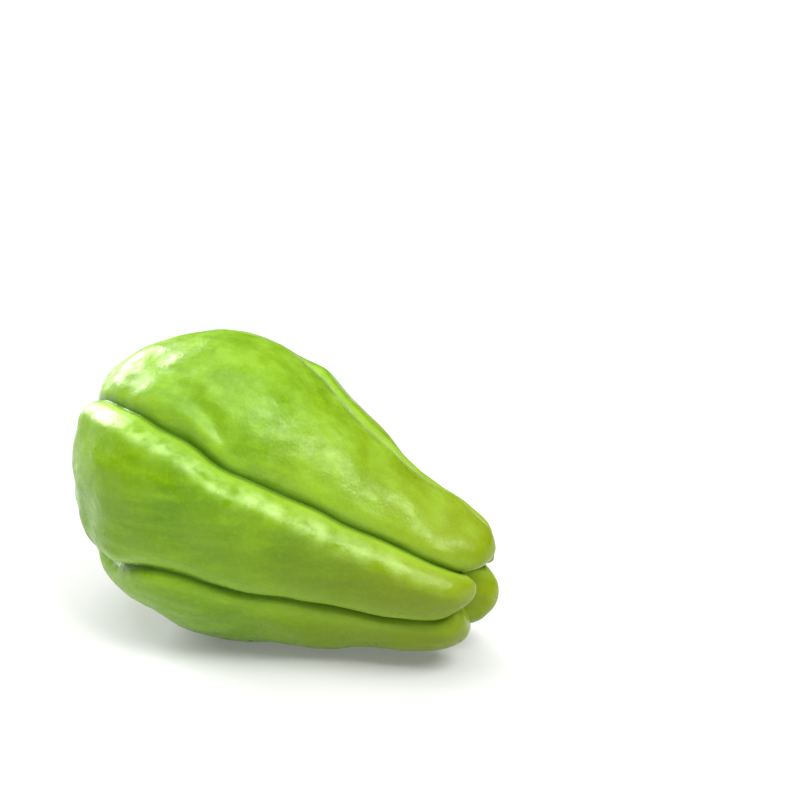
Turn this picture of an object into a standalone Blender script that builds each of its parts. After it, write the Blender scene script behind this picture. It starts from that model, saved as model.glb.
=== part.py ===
"""Chayote squash lying on its side.

One closed solid grown in one piece: five rounded lobes with grooves between them, a narrow
stem end with a puckered scar and a broad blossom end with a cleft. Metres, +Z up. The long
axis runs along X with the stem end at +X, and the front of the fruit faces -Y.
"""
import math

import bmesh
import bpy
import numpy as np

MM = 0.001

# Mesh density: sides run round the long axis, rings run along it.
SIDES = 80
RINGS = 46
GATHER = 0.65            # how strongly the sides gather at the grooves, 0 is even

# Half outline of the fruit in mm, from the stem scar to the blossom scar:
# distance from the blossom end along the axis, radius.
OUTLINE = [(124, 0), (125.5, 4), (129, 8.5), (131.5, 13), (127.5, 18.5), (116, 23), (100, 27.5),
           (87, 32.5), (72.5, 38), (59, 43.5), (45, 46), (30.5, 44.5), (17, 38), (7.5, 30.5),
           (2, 22.5), (0, 15), (3, 7), (7, 0)]

# Each row below has eight even stations along the outline:
# scar, rim, neck, waist, belly, shoulder, rim, scar.
# Angles are degrees from the front towards the top, depths are mm, and the last two
# numbers are the widths in mm of the rounding below and above the groove.
GROOVES = [
    ((-30, -17, -31, -25, -19, -46, -58, -60), (0, 4.5, 2.8, 2.6, 3.2, 8.0, 6.5, 0), 9, 17),
    ((26, 38, 31, 33, 34.5, 43, 49, 46), (0, 4.6, 2.2, 2.4, 3.0, 2.0, 2.2, 4.0), 6, 15),
    ((122, 116, 108, 105, 113, 103, 94, 94), (0, 4.0, 2.0, 2.4, 2.8, 3.2, 3.0, 0), 10, 7),
    ((175, 176, 178, 180, 182, 188, 205, 212), (0, 4.5, 3.5, 3.5, 3.8, 4.5, 5.0, 5.0), 12, 12),
    ((263, 262, 258, 252, 246, 244, 244, 244), (0, 4.5, 3.2, 3.2, 3.6, 4.0, 3.5, 0), 11, 11),
]
FRONT_GROOVE = 1

# How far each lobe swells beyond the outline in mm, and where across it the crest lies.
# A lobe lies between the groove of its own row and the next one.
LOBES = [
    ((0, 1.2, 2.0, 2.7, 3.0, 0.8, -0.8, 0), 0.68),
    ((0, 1.6, -0.4, 1.9, 2.2, 1.2, 0.4, 0), 0.58),
    ((0, -1.4, -2.8, 0.2, 1.0, 1.2, 1.4, 0), 0.45),
    ((0, 3.6, 4.2, 2.8, 1.6, 0.9, 0.0, 0), 0.50),
    ((0, 1.0, 2.8, 4.6, -0.8, -3.4, -2.8, 0), 0.50),
]

# Raised band along the lower side of the front groove, mm.
BAND_HEIGHT = 1.3
BAND_GAP = 7.0
BAND_HALF_WIDTH = 3.6

# Narrow valley that leaves the upper side of the front groove, with a low fold between the
# two: its depth and its distance from the groove in mm at the same eight stations.
VALLEY_DEPTH = (0, 0, 0, 0.2, 1.1, 0.2, 0, 0)
VALLEY_GAP = (0, 0, -10, -4, 9.5, 20, 30, 30)
VALLEY_HALF_WIDTH = 3.2
FOLD_SHARE = 0.5         # height of the fold and its place, as shares of the valley's

# Shallow hollow along the front lobe: depth in mm, then its place across the lobe.
HOLLOW_DEPTH = (0, 0, 0.2, 0.6, 1.4, 2.6, 2.4, 0)
HOLLOW_PLACE = 0.35
HOLLOW_HALF_WIDTH = 0.22

# Uneven growth: height in mm, waves along, waves round, phase.
LUMPS = [(0.40, 3.1, 2, 0.4), (0.35, 5.3, 3, 2.1), (0.28, 7.9, 4, 4.0),
         (0.22, 10.7, 7, 1.2), (0.16, 15.1, 5, 5.3)]
LUMP_FADE = 25.0         # radius in mm below which the lumps die out towards the scars

# Side-to-side wander of the grooves: degrees, waves along.
WANDER = [(0.9, 3.7), (0.6, 7.3), (0.35, 12.1)]
WANDER_SHIFT = 1.7       # how far the wander of one groove is out of step with the next
LUMP_SHIFT = 2.3         # how far the lumps round the fruit are out of step with each other

GROOVE_ROUNDING = 2.4    # power of the curve that rounds a lobe down into a groove
FULL_ROUNDING = 30.0     # radius in mm from which the rounding has its full width
LEAST_ROUNDING = 0.2     # share of the width that is left at the scars
SWELL_POWER = 1.5        # power of the curve that rounds a lobe's swelling
LEAN = 14.2              # degrees by which the axis drops towards the stem end
REST_DEPTH = 1.2         # mm taken off the underside for the flat spot it rests on
WELD = 0.05              # mm below which two points are joined

SKIN_COLOUR = (0.330, 0.570, 0.028, 1.0)
SKIN_ROUGHNESS = 0.42


def spline(rows, along, mirror=None):
    """Smooth curve through evenly spaced rows, read at places 0 to 1."""
    points = np.asarray(rows, float)
    if mirror is None:
        before = 2 * points[0] - points[1]
        after = 2 * points[-1] - points[-2]
    else:
        before = points[1] * mirror
        after = points[-2] * mirror
    knots = np.concatenate([[before], points, [after]])
    last = len(points) - 1
    place = np.clip(along, 0, 1) * last
    index = np.minimum(place.astype(int), last - 1)
    u = place - index
    if points.ndim == 2:
        u = u[:, None]
    a, b, c, d = (knots[index + step] for step in range(4))
    linear = (c - a) * u
    square = (2 * a - 5 * b + 4 * c - d) * u ** 2
    cube = (3 * b - a - 3 * c + d) * u ** 3
    return 0.5 * (2 * b + linear + square + cube)


def turned(degrees):
    """Angle brought into the range from -180 to 180."""
    return (degrees + 180) % 360 - 180


def groove_angle(number, along):
    """Angle of a groove in degrees, with its side-to-side wander."""
    wander = sum(size * np.sin(2 * math.pi * waves * along + WANDER_SHIFT * number * waves)
                 for size, waves in WANDER)
    return spline(GROOVES[number][0], along) + wander * np.sin(math.pi * along)


def across_lobe(along, around):
    """Lobe number, place across it from 0 to 1, and angle of each point in degrees."""
    count = len(GROOVES)
    lobe = np.minimum((around * count).astype(int), count - 1)
    even = around * count - lobe
    place = even - GATHER * np.sin(2 * math.pi * even) / (2 * math.pi)
    angles = [groove_angle(number, along) for number in range(count)]
    angles = np.array(angles + [angles[0] + 360])
    column = np.arange(len(along))
    start = angles[lobe, column]
    end = angles[lobe + 1, column]
    return lobe, place, start + (end - start) * place


def groove_depth(along, degrees, radius):
    """Depth below the lobes in mm, rounded into both sides of each groove."""
    total = 0
    for number, (_, depths, below, above) in enumerate(GROOVES):
        away = turned(degrees - groove_angle(number, along))
        gap = radius * np.sin(np.radians(np.minimum(np.abs(away), 90)))
        width = np.where(away > 0, above, below) * np.clip(radius / FULL_ROUNDING, LEAST_ROUNDING, 1)
        closeness = (1 - np.clip(gap / width, 0, 1)) ** GROOVE_ROUNDING
        total = total + (np.maximum(spline(depths, along), 0) * closeness) ** 3
    return np.cbrt(total)


def swelling(along, lobe, place):
    heights = np.array([spline(row, along) for row, _ in LOBES])
    crests = np.array([crest for _, crest in LOBES])[lobe]
    skew = np.log(0.5) / np.log(crests)
    arch = np.sin(math.pi * np.clip(place, 0, 1) ** skew) ** SWELL_POWER
    return heights[lobe, np.arange(len(along))] * arch


def raised_band(along, degrees, radius):
    away = turned(groove_angle(FRONT_GROOVE, along) - degrees)
    gap = radius * np.radians(away)
    fade = np.sqrt(np.sin(math.pi * along))
    return BAND_HEIGHT * fade * np.exp(-((gap - BAND_GAP) / BAND_HALF_WIDTH) ** 2)


def side_valley(along, degrees, radius):
    """Valley beside the front groove, and the fold between them."""
    gap = radius * np.radians(turned(degrees - groove_angle(FRONT_GROOVE, along)))
    place = np.maximum(spline(VALLEY_GAP, along), 0)
    valley = np.exp(-((gap - place) / VALLEY_HALF_WIDTH) ** 2)
    fold = np.exp(-((gap - FOLD_SHARE * place) / VALLEY_HALF_WIDTH) ** 2)
    return np.maximum(spline(VALLEY_DEPTH, along), 0) * (FOLD_SHARE * fold - valley)


def front_hollow(along, lobe, place):
    hollow = np.exp(-((place - HOLLOW_PLACE) / HOLLOW_HALF_WIDTH) ** 2)
    return -spline(HOLLOW_DEPTH, along) * np.where(lobe == 0, hollow, 0)


def lumps(along, degrees, radius):
    fade = np.clip(radius / LUMP_FADE, 0, 1)
    turn = np.radians(degrees)
    total = 0
    for size, lengthwise, rounds, phase in LUMPS:
        wave = np.sin(2 * math.pi * lengthwise * along + phase)
        total = total + size * wave * np.sin(rounds * turn + LUMP_SHIFT * phase)
    return fade * total


def outline_at(along):
    """Axis distance, radius and outward direction of the outline, in mm."""
    mirror = np.array([1, -1])
    step = 0.001
    spot = spline(OUTLINE, along, mirror)
    ahead = spline(OUTLINE, along + step, mirror)
    behind = spline(OUTLINE, along - step, mirror)
    course = ahead - behind
    course = course / np.linalg.norm(course, axis=1, keepdims=True)
    return spot[:, 0], spot[:, 1], course[:, 1], -course[:, 0]


def skin_points(along, around):
    """Points of the skin in metres for places along and around the fruit."""
    lobe, place, degrees = across_lobe(along, around)
    axis, radius, out_axis, out_radius = outline_at(along)
    push = swelling(along, lobe, place) + raised_band(along, degrees, radius)
    push = push + side_valley(along, degrees, radius) + front_hollow(along, lobe, place)
    push = push + lumps(along, degrees, radius) - groove_depth(along, degrees, radius)
    reach = axis + out_axis * push
    ring = np.maximum(radius + out_radius * push, 0)
    turn = np.radians(degrees)
    side = -ring * np.cos(turn)
    height = ring * np.sin(turn)
    lean = math.radians(LEAN)
    x = reach * math.cos(lean) + height * math.sin(lean)
    z = height * math.cos(lean) - reach * math.sin(lean)
    return np.stack([x, side, z], axis=1) * MM


def stand_on_origin(points):
    """Centre the points over the origin with the rest cut at the floor."""
    low = points.min(axis=0)
    high = points.max(axis=0)
    shift = (low + high) / 2
    shift[2] = low[2] + REST_DEPTH * MM
    return points - shift


def flatten_underside(bm):
    """Cut the underside off at the floor and close it with flat faces."""
    everything = bm.verts[:] + bm.edges[:] + bm.faces[:]
    bmesh.ops.bisect_plane(bm, geom=everything, plane_co=(0, 0, 0), plane_no=(0, 0, -1),
                           clear_outer=True)
    bmesh.ops.remove_doubles(bm, verts=bm.verts[:], dist=WELD * MM)
    bmesh.ops.holes_fill(bm, edges=bm.edges[:], sides=0)
    bmesh.ops.recalc_face_normals(bm, faces=bm.faces[:])


def build_fruit():
    bm = bmesh.new()
    bmesh.ops.create_uvsphere(bm, u_segments=SIDES, v_segments=RINGS, radius=1.0)
    unit = np.array([vert.co[:] for vert in bm.verts])
    along = np.arccos(np.clip(unit[:, 2], -1, 1)) / math.pi
    around = np.arctan2(unit[:, 1], unit[:, 0]) / (2 * math.pi) % 1
    for vert, point in zip(bm.verts, stand_on_origin(skin_points(along, around))):
        vert.co = point
    flatten_underside(bm)
    mesh = bpy.data.meshes.new("chayote")
    bm.to_mesh(mesh)
    bm.free()
    fruit = bpy.data.objects.new("chayote", mesh)
    bpy.context.scene.collection.objects.link(fruit)
    return fruit


def skin_material():
    material = bpy.data.materials.new("chayote_skin")
    material.use_nodes = True
    shader = material.node_tree.nodes["Principled BSDF"]
    shader.inputs["Base Color"].default_value = SKIN_COLOUR
    shader.inputs["Roughness"].default_value = SKIN_ROUGHNESS
    return material


def main():
    for item in list(bpy.data.objects):
        bpy.data.objects.remove(item)
    fruit = build_fruit()
    fruit.data.materials.append(skin_material())


main()
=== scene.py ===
"""Looks of the chayote squash: its skin, and the floor, light and camera it is shown with."""
import math

import bmesh
import bpy
import numpy as np
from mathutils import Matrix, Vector, noise


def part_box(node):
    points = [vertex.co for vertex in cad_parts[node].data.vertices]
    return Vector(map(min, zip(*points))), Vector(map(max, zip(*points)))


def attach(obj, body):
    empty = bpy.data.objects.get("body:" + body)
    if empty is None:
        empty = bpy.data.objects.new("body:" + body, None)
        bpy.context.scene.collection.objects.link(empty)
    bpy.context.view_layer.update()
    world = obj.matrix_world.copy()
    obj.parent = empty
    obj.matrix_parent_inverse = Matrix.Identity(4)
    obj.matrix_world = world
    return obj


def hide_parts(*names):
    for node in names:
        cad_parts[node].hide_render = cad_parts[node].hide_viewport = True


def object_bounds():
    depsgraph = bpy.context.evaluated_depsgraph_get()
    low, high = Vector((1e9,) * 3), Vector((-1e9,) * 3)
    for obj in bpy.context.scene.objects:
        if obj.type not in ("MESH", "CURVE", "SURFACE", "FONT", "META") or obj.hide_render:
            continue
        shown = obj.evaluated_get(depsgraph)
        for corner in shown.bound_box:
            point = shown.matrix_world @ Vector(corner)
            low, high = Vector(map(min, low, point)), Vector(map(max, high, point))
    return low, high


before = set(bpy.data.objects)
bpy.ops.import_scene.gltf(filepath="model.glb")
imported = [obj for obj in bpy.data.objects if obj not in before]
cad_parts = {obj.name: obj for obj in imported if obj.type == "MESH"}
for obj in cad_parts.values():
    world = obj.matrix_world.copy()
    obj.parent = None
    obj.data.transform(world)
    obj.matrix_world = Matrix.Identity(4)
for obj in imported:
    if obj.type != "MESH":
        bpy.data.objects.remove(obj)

CAD_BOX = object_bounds()
MM = 0.001

# Mesh density of the skin: sides run round the long axis, rings run along it.
SIDES = 350
RINGS = 270
GATHER = 0.55            # how strongly the sides gather at the grooves, 0 is even

# Half outline of the fruit in mm, from the stem scar to the blossom scar:
# distance from the blossom end along the axis, radius.
OUTLINE = [(124, 0), (125.5, 4), (129, 8.5), (131.5, 13), (127.5, 18.5), (116, 23), (100, 27.5),
           (87, 32.5), (72.5, 38), (59, 43.5), (45, 46), (30.5, 44.5), (17, 38), (7.5, 30.5),
           (2, 22.5), (0, 15), (3, 7), (7, 0)]

# Each row below has eight even stations along the outline:
# scar, rim, neck, waist, belly, shoulder, rim, scar.
# Angles are degrees from the front towards the top, depths are mm, and the last two
# numbers are the widths in mm of the rounding below and above the groove.
GROOVES = [
    ((-30, -17, -31, -25, -19, -46, -58, -60), (0, 4.5, 2.8, 2.6, 3.2, 8.0, 6.5, 0), 9, 17),
    ((26, 38, 31, 33, 34.5, 43, 49, 46), (0, 4.6, 2.2, 2.4, 3.0, 2.0, 2.2, 4.0), 6, 15),
    ((122, 116, 108, 105, 113, 103, 94, 94), (0, 4.0, 2.0, 2.4, 2.8, 3.2, 3.0, 0), 10, 7),
    ((175, 176, 178, 180, 182, 188, 205, 212), (0, 4.5, 3.5, 3.5, 3.8, 4.5, 5.0, 5.0), 12, 12),
    ((263, 262, 258, 252, 246, 244, 244, 244), (0, 4.5, 3.2, 3.2, 3.6, 4.0, 3.5, 0), 11, 11),
]
FRONT_GROOVE = 1

# How far each lobe swells beyond the outline in mm, and where across it the crest lies.
# A lobe lies between the groove of its own row and the next one.
LOBES = [
    ((0, 1.2, 2.0, 2.7, 3.0, 0.8, -0.8, 0), 0.68),
    ((0, 1.6, -0.4, 1.9, 2.2, 1.2, 0.4, 0), 0.58),
    ((0, -1.4, -2.8, 0.2, 1.0, 1.2, 1.4, 0), 0.45),
    ((0, 3.6, 4.2, 2.8, 1.6, 0.9, 0.0, 0), 0.50),
    ((0, 1.0, 2.8, 4.6, -0.8, -3.4, -2.8, 0), 0.50),
]

# Raised band along the lower side of the front groove, mm.
BAND_HEIGHT = 1.3
BAND_GAP = 7.0
BAND_HALF_WIDTH = 3.6

# Narrow valley that leaves the upper side of the front groove, with a low fold between the
# two: its depth and its distance from the groove in mm at the same eight stations.
VALLEY_DEPTH = (0, 0, 0, 0.2, 1.1, 0.2, 0, 0)
VALLEY_GAP = (0, 0, -10, -4, 9.5, 20, 30, 30)
VALLEY_HALF_WIDTH = 3.2
FOLD_SHARE = 0.5         # height of the fold and its place, as shares of the valley's

# Shallow hollow along the front lobe: depth in mm, then its place across the lobe.
HOLLOW_DEPTH = (0, 0, 0.2, 0.6, 1.4, 2.6, 2.4, 0)
HOLLOW_PLACE = 0.35
HOLLOW_HALF_WIDTH = 0.22

# Uneven growth: height in mm, waves along, waves round, phase.
LUMPS = [(0.40, 3.1, 2, 0.4), (0.35, 5.3, 3, 2.1), (0.28, 7.9, 4, 4.0),
         (0.22, 10.7, 7, 1.2), (0.16, 15.1, 5, 5.3)]
LUMP_FADE = 25.0         # radius in mm below which the lumps die out towards the scars

# Side-to-side wander of the grooves: degrees, waves along.
WANDER = [(0.9, 3.7), (0.6, 7.3), (0.35, 12.1)]
WANDER_SHIFT = 1.7       # how far the wander of one groove is out of step with the next
LUMP_SHIFT = 2.3         # how far the lumps round the fruit are out of step with each other

GROOVE_ROUNDING = 2.4    # power of the curve that rounds a lobe down into a groove
FULL_ROUNDING = 30.0     # radius in mm from which the rounding has its full width
LEAST_ROUNDING = 0.2     # share of the width that is left at the scars
SWELL_POWER = 1.5        # power of the curve that rounds a lobe's swelling
LEAN = 14.2              # degrees by which the axis drops towards the stem end
REST_DEPTH = 1.2         # mm taken off the underside for the flat spot it rests on

# Fine relief of the skin, mm: depth, the length and width of one mark, and a number that
# sets the pattern.
DIMPLES = (0.30, 8.0, 7.0, 3.0)
WRINKLES = (0.16, 24.0, 2.6, 11.0)
PUCKERS = (0.45, 9.0, 18.0, 23.0)
LEAST_RELIEF = 0.2       # share of the relief that is left at the scars
LIP_HEIGHT = 0.15        # mm, along both edges of every groove
LIP_CLOSENESS = 0.30     # where the lip stands between a lobe, 0, and the groove, 1
LIP_WIDTH = 0.16
CREASE_DEPTH = 0.9       # mm, of the thin crease at the bottom of every groove
CREASE_CLOSENESS = 0.55  # where the crease starts between a lobe, 0, and the groove, 1
CREASE_ROUNDING = 1.5    # power of the curve that rounds a groove down into its crease

# Where the colours change.
HIGHLIGHT_BAND_GAP = 5.0            # mm, from the front groove to the middle of the painted highlight band below it
HIGHLIGHT_BAND_HALF_WIDTH = 2.4
STEM_START = 60          # mm from the blossom end to where the stem end's tint starts
STEM_REACH = 70          # mm over which the tint grows to its full share
PAINTED_SHEEN_LOSS = 0.6         # share of the painted sheen on the upper side that is lost at the stem end

# Camera: the photograph's viewing angle and framing, on an 800 x 800 image.
IMAGE_SIDE = 800
LENS = 70.0              # mm on a 36 mm wide sensor
SENSOR = 36.0
AZIMUTH = 27.0
ELEVATION = 20.0
DISTANCE = 0.475         # metres from the middle of the fruit
MIDDLE_PIXEL = (284.0, 485.0)

FLOOR_REACH = 12.0       # metres from the fruit to the edges of the floor
FLOOR_GAP = 0.2          # mm between the fruit and the floor

# Large far soft boxes: azimuth and elevation towards each, how wide it looks in degrees,
# and its strength. Azimuth 0 is towards -Y, 90 towards +X.
BOXES = {"left_box": (-115, 24, 32, 3.7),
         "right_box": (67, 53, 30, 2.6),
         "top_box": (0, 78, 44, 1.8)}


# Shape of the fruit

def spline(rows, along, mirror=None):
    """Smooth curve through evenly spaced rows, read at places 0 to 1."""
    points = np.asarray(rows, float)
    if mirror is None:
        before = 2 * points[0] - points[1]
        after = 2 * points[-1] - points[-2]
    else:
        before = points[1] * mirror
        after = points[-2] * mirror
    knots = np.concatenate([[before], points, [after]])
    last = len(points) - 1
    place = np.clip(along, 0, 1) * last
    index = np.minimum(place.astype(int), last - 1)
    u = place - index
    if points.ndim == 2:
        u = u[:, None]
    a, b, c, d = (knots[index + step] for step in range(4))
    linear = (c - a) * u
    square = (2 * a - 5 * b + 4 * c - d) * u ** 2
    cube = (3 * b - a - 3 * c + d) * u ** 3
    return 0.5 * (2 * b + linear + square + cube)


def turned(degrees):
    """Angle brought into the range from -180 to 180."""
    return (degrees + 180) % 360 - 180


def groove_angle(number, along):
    """Angle of a groove in degrees, with its side-to-side wander."""
    wander = sum(size * np.sin(2 * math.pi * waves * along + WANDER_SHIFT * number * waves)
                 for size, waves in WANDER)
    return spline(GROOVES[number][0], along) + wander * np.sin(math.pi * along)


def across_lobe(along, around):
    """Lobe number, place across it from 0 to 1, and angle of each point in degrees."""
    count = len(GROOVES)
    lobe = np.minimum((around * count).astype(int), count - 1)
    even = around * count - lobe
    place = even - GATHER * np.sin(2 * math.pi * even) / (2 * math.pi)
    angles = [groove_angle(number, along) for number in range(count)]
    angles = np.array(angles + [angles[0] + 360])
    column = np.arange(len(along))
    start = angles[lobe, column]
    end = angles[lobe + 1, column]
    return lobe, place, start + (end - start) * place


def groove_closeness(along, degrees, radius):
    """1 in each groove and 0 on the lobes, with the rounding of each groove's sides."""
    rows = []
    for number, (_, _, below, above) in enumerate(GROOVES):
        away = turned(degrees - groove_angle(number, along))
        gap = radius * np.sin(np.radians(np.minimum(np.abs(away), 90)))
        width = np.where(away > 0, above, below) * np.clip(radius / FULL_ROUNDING, LEAST_ROUNDING, 1)
        rows.append((1 - np.clip(gap / width, 0, 1)) ** GROOVE_ROUNDING)
    return np.array(rows)


def groove_depth(along, closeness):
    """Depth below the lobes in mm."""
    depths = np.array([spline(row[1], along) for row in GROOVES])
    return np.cbrt(((np.maximum(depths, 0) * closeness) ** 3).sum(axis=0))


def swelling(along, lobe, place):
    heights = np.array([spline(row, along) for row, _ in LOBES])
    crests = np.array([crest for _, crest in LOBES])[lobe]
    skew = np.log(0.5) / np.log(crests)
    arch = np.sin(math.pi * np.clip(place, 0, 1) ** skew) ** SWELL_POWER
    return heights[lobe, np.arange(len(along))] * arch


def raised_band(along, degrees, radius):
    away = turned(groove_angle(FRONT_GROOVE, along) - degrees)
    gap = radius * np.radians(away)
    fade = np.sqrt(np.sin(math.pi * along))
    return BAND_HEIGHT * fade * np.exp(-((gap - BAND_GAP) / BAND_HALF_WIDTH) ** 2)


def side_valley(along, degrees, radius):
    """Valley beside the front groove, and the fold between them."""
    gap = radius * np.radians(turned(degrees - groove_angle(FRONT_GROOVE, along)))
    place = np.maximum(spline(VALLEY_GAP, along), 0)
    valley = np.exp(-((gap - place) / VALLEY_HALF_WIDTH) ** 2)
    fold = np.exp(-((gap - FOLD_SHARE * place) / VALLEY_HALF_WIDTH) ** 2)
    return np.maximum(spline(VALLEY_DEPTH, along), 0) * (FOLD_SHARE * fold - valley)


def front_hollow(along, lobe, place):
    hollow = np.exp(-((place - HOLLOW_PLACE) / HOLLOW_HALF_WIDTH) ** 2)
    return -spline(HOLLOW_DEPTH, along) * np.where(lobe == 0, hollow, 0)


def lumps(along, degrees, radius):
    fade = np.clip(radius / LUMP_FADE, 0, 1)
    turn = np.radians(degrees)
    total = 0
    for size, lengthwise, rounds, phase in LUMPS:
        wave = np.sin(2 * math.pi * lengthwise * along + phase)
        total = total + size * wave * np.sin(rounds * turn + LUMP_SHIFT * phase)
    return fade * total


def outline_at(along):
    """Axis distance, radius and outward direction of the outline, in mm."""
    mirror = np.array([1, -1])
    step = 0.001
    spot = spline(OUTLINE, along, mirror)
    ahead = spline(OUTLINE, along + step, mirror)
    behind = spline(OUTLINE, along - step, mirror)
    course = ahead - behind
    course = course / np.linalg.norm(course, axis=1, keepdims=True)
    return spot[:, 0], spot[:, 1], course[:, 1], -course[:, 0]


def noise_marks(axis, radius, turn, relief):
    """Soft random relief in mm of the given depth, mark length, mark width and pattern."""
    depth, length, width, seed = relief
    across = radius * np.cos(turn) / width
    up = radius * np.sin(turn) / width
    spots = np.stack([axis / length + seed, across, up + seed], axis=1)
    return depth * np.array([noise.noise(Vector(spot)) for spot in spots])


def fine_relief(axis, radius, turn, closeness):
    """Dimples, wrinkles, the lips and creases of the grooves, and puckers across their sides."""
    fade = np.clip(radius / LUMP_FADE, LEAST_RELIEF, 1)
    dimples = noise_marks(axis, radius, turn, DIMPLES)
    wrinkles = noise_marks(axis, radius, turn, WRINKLES)
    puckers = noise_marks(axis, radius, turn, PUCKERS)
    depth = closeness.max(axis=0)
    lip = LIP_HEIGHT * np.exp(-((depth - LIP_CLOSENESS) / LIP_WIDTH) ** 2)
    lip = lip * np.clip(depth / LIP_CLOSENESS, 0, 1)
    inside = np.clip((depth - CREASE_CLOSENESS) / (1 - CREASE_CLOSENESS), 0, 1)
    crease = CREASE_DEPTH * inside ** CREASE_ROUNDING
    side = 4 * depth * (1 - depth)
    return fade * (dimples + wrinkles + lip - crease) + side * puckers


def skin_points(along, around):
    """Points of the skin in metres, and fields from 0 to 1 that the colours follow."""
    lobe, place, degrees = across_lobe(along, around)
    axis, radius, out_axis, out_radius = outline_at(along)
    closeness = groove_closeness(along, degrees, radius)
    turn = np.radians(degrees)
    push = swelling(along, lobe, place) + raised_band(along, degrees, radius)
    push = push + side_valley(along, degrees, radius) + front_hollow(along, lobe, place)
    push = push + lumps(along, degrees, radius) - groove_depth(along, closeness)
    push = push + fine_relief(axis, radius, turn, closeness)
    reach = axis + out_axis * push
    ring = np.maximum(radius + out_radius * push, 0)
    side = -ring * np.cos(turn)
    height = ring * np.sin(turn)
    lean = math.radians(LEAN)
    x = reach * math.cos(lean) + height * math.sin(lean)
    z = height * math.cos(lean) - reach * math.sin(lean)
    below = radius * np.radians(turned(groove_angle(FRONT_GROOVE, along) - degrees))
    stem = np.clip((axis - STEM_START) / STEM_REACH, 0, 1)
    # painted_band_highlight and painted_sheen place painted highlights; groove also places the
    # painted highlight on the groove lips and the painted shade in the grooves.
    fields = {"groove": closeness.max(axis=0),
              "stem": stem,
              "painted_band_highlight": (1 - stem ** 2) * np.exp(-((below - HIGHLIGHT_BAND_GAP) / HIGHLIGHT_BAND_HALF_WIDTH) ** 2),
              "painted_sheen": (1 - PAINTED_SHEEN_LOSS * stem) * np.clip(np.sin(turn), 0, 1)}
    return np.stack([x, side, z], axis=1) * MM, fields


def fit_to_box(points, low, high):
    """Set the points over the solid that they stand for, resting flat on the floor."""
    floor = points[:, 2].min() + REST_DEPTH * MM
    lowest = np.array([points[:, 0].min(), points[:, 1].min(), floor])
    highest = points.max(axis=0)
    low = np.array(low)
    high = np.array(high)
    placed = low + (points - lowest) * (high - low) / (highest - lowest)
    placed[:, 2] = np.maximum(placed[:, 2], low[2])
    return placed


def skin_piece():
    bm = bmesh.new()
    bmesh.ops.create_uvsphere(bm, u_segments=SIDES, v_segments=RINGS, radius=1.0)
    unit = np.array([vert.co[:] for vert in bm.verts])
    along = np.arccos(np.clip(unit[:, 2], -1, 1)) / math.pi
    around = np.arctan2(unit[:, 1], unit[:, 0]) / (2 * math.pi) % 1
    points, fields = skin_points(along, around)
    low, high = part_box("chayote")
    for vert, point in zip(bm.verts, fit_to_box(points, low, high)):
        vert.co = point
    for name, values in fields.items():
        layer = bm.verts.layers.float.new(name)
        for vert, value in zip(bm.verts, values):
            vert[layer] = value
    bmesh.ops.recalc_face_normals(bm, faces=bm.faces[:])
    mesh = bpy.data.meshes.new("skin")
    bm.to_mesh(mesh)
    bm.free()
    mesh.shade_smooth()
    piece = bpy.data.objects.new("skin", mesh)
    bpy.context.scene.collection.objects.link(piece)
    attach(piece, "root")
    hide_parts("chayote")
    return piece


# Materials

def linear(hex_colour):
    """RGBA in linear light from an sRGB hex value."""
    parts = [int(hex_colour[i:i + 2], 16) / 255 for i in (1, 3, 5)]
    light = [part / 12.92 if part <= 0.04045 else ((part + 0.055) / 1.055) ** 2.4 for part in parts]
    return light + [1.0]


def add(tree, kind, settings=None, **links):
    """Add a node, set its properties and values, and link its inputs."""
    node = tree.nodes.new(kind)
    for name, value in (settings or {}).items():
        if isinstance(name, int) or name in node.inputs:
            node.inputs[name].default_value = value
        else:
            setattr(node, name, value)
    for name, source in links.items():
        tree.links.new(source, node.inputs[name.replace("_", " ")])
    return node


def blank_material(name):
    material = bpy.data.materials.new(name)
    material.use_nodes = True
    tree = material.node_tree
    return material, tree, tree.nodes["Principled BSDF"]


def mix_colour(tree, factor, first, second):
    """Mixed colour of two colours, each a value or a socket."""
    node = tree.nodes.new("ShaderNodeMix")
    node.data_type = "RGBA"
    pairs = ((node.inputs[0], factor), (node.inputs[6], first), (node.inputs[7], second))
    for socket, source in pairs:
        if isinstance(source, bpy.types.NodeSocket):
            tree.links.new(source, socket)
        else:
            socket.default_value = source
    return node.outputs[2]


def stretched(tree, source, low, high, top):
    """Field that runs from 0 to top while the source runs from low to high."""
    settings = {"From Min": low, "From Max": high, "To Max": top}
    return add(tree, "ShaderNodeMapRange", settings, Value=source).outputs["Result"]


def marks(tree, where, size_mm, detail=3.0, low=0.35, high=0.65, top=1.0):
    """Noise whose marks are size_mm across, stretched to run from 0 to top."""
    settings = {"Scale": 1 / (size_mm * MM), "Detail": detail, "Roughness": 0.5}
    cloud = add(tree, "ShaderNodeTexNoise", settings, Vector=where)
    return stretched(tree, cloud.outputs[0], low, high, top)


def times(tree, first, second):
    """Product of two fields."""
    node = add(tree, "ShaderNodeMath", {"operation": "MULTIPLY"})
    tree.links.new(first, node.inputs[0])
    tree.links.new(second, node.inputs[1])
    return node.outputs[0]


def field(tree, name):
    """One of the fields that the skin's points carry."""
    return add(tree, "ShaderNodeAttribute", {"attribute_name": name}).outputs["Fac"]


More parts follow.
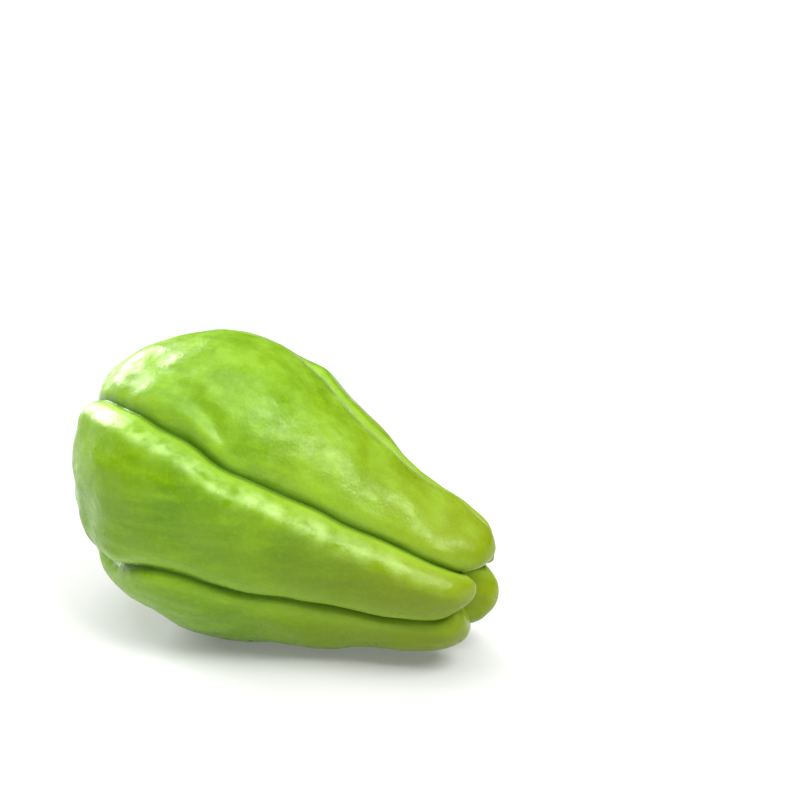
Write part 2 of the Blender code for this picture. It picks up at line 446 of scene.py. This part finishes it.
def skin_colour(tree, where):
    """Mottled green with pale streaks, olive at the stem end; painted sheen on the upper side,
    painted highlights on the band below the front groove and on the groove lips, painted shade in
    the grooves.
    """
    groove, stem, painted_band_highlight, painted_sheen = (field(tree, name) for name in ("groove", "stem", "painted_band_highlight", "painted_sheen"))
    settings = {"Rotation": (0, math.radians(LEAN), 0), "Scale": (0.12, 1, 1)}
    lengthwise = add(tree, "ShaderNodeMapping", settings, Vector=where).outputs["Vector"]

    # Broad patches of two greens.
    colour = mix_colour(tree, marks(tree, where, 26), linear("#5E8A02"), linear("#729A06"))
    # Paler streaks along the fruit.
    streaks = marks(tree, lengthwise, 3.2, low=0.45, high=0.75, top=0.40)
    colour = mix_colour(tree, streaks, colour, linear("#8CB814"))
    # Fine pale dots.
    speckle = marks(tree, where, 1.4, detail=2, low=0.5, high=0.8, top=0.30)
    colour = mix_colour(tree, speckle, colour, linear("#90BC1C"))
    # Riper, more olive skin towards the stem.
    ripe = stretched(tree, stem, 0.0, 1.0, 0.72)
    colour = mix_colour(tree, ripe, colour, linear("#808A0A"))
    # Painted sheen on the upper side: paler where the skin faces up.
    cloud = times(tree, painted_sheen, marks(tree, where, 9, low=0.40, high=0.70, top=0.40))
    colour = mix_colour(tree, cloud, colour, linear("#A2D04C"))
    # Patchy painted highlight on the raised band below the front groove.
    band_highlight_amount = times(tree, painted_band_highlight, marks(tree, where, 6, top=0.65))
    colour = mix_colour(tree, band_highlight_amount, colour, linear("#C4E688"))
    # Painted highlight along the lips of the grooves, then painted shade in their bottoms.
    lip = stretched(tree, groove, 0.02, 0.40, 0.25)
    colour = mix_colour(tree, lip, colour, linear("#A4CC46"))
    shade = stretched(tree, groove, 0.62, 1.0, 0.9)
    return mix_colour(tree, shade, colour, linear("#3F6B02"))


def waxy_squash_skin():
    """Thin waxy skin over watery flesh: broad soft gloss broken up by fine pores."""
    material, tree, shader = blank_material("waxy_squash_skin")
    where = add(tree, "ShaderNodeTexCoord").outputs["Object"]
    tree.links.new(skin_colour(tree, where), shader.inputs["Base Color"])

    gloss = add(tree, "ShaderNodeMapRange", {"To Min": 0.26, "To Max": 0.44},
                Value=marks(tree, where, 3)).outputs["Result"]
    tree.links.new(gloss, shader.inputs["Roughness"])
    shader.inputs["IOR"].default_value = 1.38
    shader.inputs["Specular Tint"].default_value = linear("#E6FFCC")
    shader.inputs["Subsurface Weight"].default_value = 0.20
    shader.inputs["Subsurface Radius"].default_value = (1.0, 1.0, 0.25)
    shader.inputs["Subsurface Scale"].default_value = 3 * MM

    swells = add(tree, "ShaderNodeBump", {"Strength": 0.2, "Distance": 0.5 * MM},
                 Height=marks(tree, where, 5.0, detail=1, low=0.2, high=0.8)).outputs["Normal"]
    pores = add(tree, "ShaderNodeBump", {"Strength": 0.3, "Distance": 0.10 * MM},
                Height=marks(tree, where, 0.8, detail=0, low=0.2, high=0.8), Normal=swells)
    tree.links.new(pores.outputs["Normal"], shader.inputs["Normal"])
    return material


def matte_white_card():
    """Smooth white card lit faintly from below, matt enough to show no reflection."""
    material, _, shader = blank_material("matte_white_card")
    shader.inputs["Base Color"].default_value = linear("#C4C4C4")
    shader.inputs["Emission Color"].default_value = linear("#FFFFFF")
    shader.inputs["Emission Strength"].default_value = 0.18
    shader.inputs["Roughness"].default_value = 0.9
    shader.inputs["Specular IOR Level"].default_value = 0.1
    return material


# Floor, light and camera

def floor_piece():
    bm = bmesh.new()
    bmesh.ops.create_grid(bm, x_segments=1, y_segments=1, size=FLOOR_REACH)
    bmesh.ops.translate(bm, verts=bm.verts[:], vec=(0, 0, -FLOOR_GAP * MM))
    mesh = bpy.data.meshes.new("floor")
    bm.to_mesh(mesh)
    bm.free()
    floor = bpy.data.objects.new("floor", mesh)
    floor.data.materials.append(matte_white_card())
    bpy.context.scene.collection.objects.link(floor)


def direction(azimuth, elevation):
    """Unit direction away from the fruit."""
    a = math.radians(azimuth)
    e = math.radians(elevation)
    return Vector((math.sin(a) * math.cos(e), -math.cos(a) * math.cos(e), math.sin(e)))


def soft_sun(name, azimuth, elevation, spread, strength):
    """One large far soft box, which lights the whole floor evenly."""
    light = bpy.data.lights.new(name, "SUN")
    light.angle = math.radians(spread)
    light.energy = strength
    lamp = bpy.data.objects.new(name, light)
    lamp.rotation_euler = (-direction(azimuth, elevation)).to_track_quat("-Z", "Y").to_euler()
    bpy.context.scene.collection.objects.link(lamp)


def studio_world():
    """Dim room with a pale ceiling."""
    world = bpy.data.worlds.new("studio")
    world.use_nodes = True
    tree = world.node_tree
    background = tree.nodes["Background"]
    looking = add(tree, "ShaderNodeTexCoord").outputs["Generated"]
    height = add(tree, "ShaderNodeSeparateXYZ", Vector=looking).outputs["Z"]
    settings = {"interpolation_type": "SMOOTHSTEP", "From Min": 0.3, "From Max": 0.9,
                "To Min": 0.03, "To Max": 0.7}
    level = add(tree, "ShaderNodeMapRange", settings, Value=height).outputs["Result"]
    tree.links.new(level, background.inputs["Strength"])
    background.inputs["Color"].default_value = linear("#FFFFFF")
    bpy.context.scene.world = world


def studio_light():
    for name, (azimuth, elevation, spread, strength) in BOXES.items():
        soft_sun(name, azimuth, elevation, spread, strength)
    studio_world()


def photo_camera(middle):
    """Camera at the photograph's angle, turned so that the fruit's middle falls on its pixel."""
    data = bpy.data.cameras.new("camera")
    data.lens = LENS
    data.sensor_width = SENSOR
    camera = bpy.data.objects.new("camera", data)
    bpy.context.scene.collection.objects.link(camera)
    back = direction(AZIMUTH, ELEVATION)
    right = Vector((0, 0, 1)).cross(back).normalized()
    up = back.cross(right)
    per_pixel = SENSOR / LENS / IMAGE_SIDE * DISTANCE
    centre = IMAGE_SIDE / 2
    aside = right * (centre - MIDDLE_PIXEL[0]) * per_pixel
    above = up * (centre - MIDDLE_PIXEL[1]) * per_pixel
    aim = middle + aside - above
    camera.location = middle + back * DISTANCE
    camera.rotation_euler = (aim - camera.location).to_track_quat("-Z", "Y").to_euler()
    bpy.context.scene.camera = camera


def main():
    middle = (Vector(CAD_BOX[0]) + Vector(CAD_BOX[1])) / 2
    photo_camera(middle)
    floor_piece()
    studio_light()
    skin = skin_piece()
    skin.data.materials.append(waxy_squash_skin())
    bpy.context.scene.view_settings.view_transform = "Standard"


main()
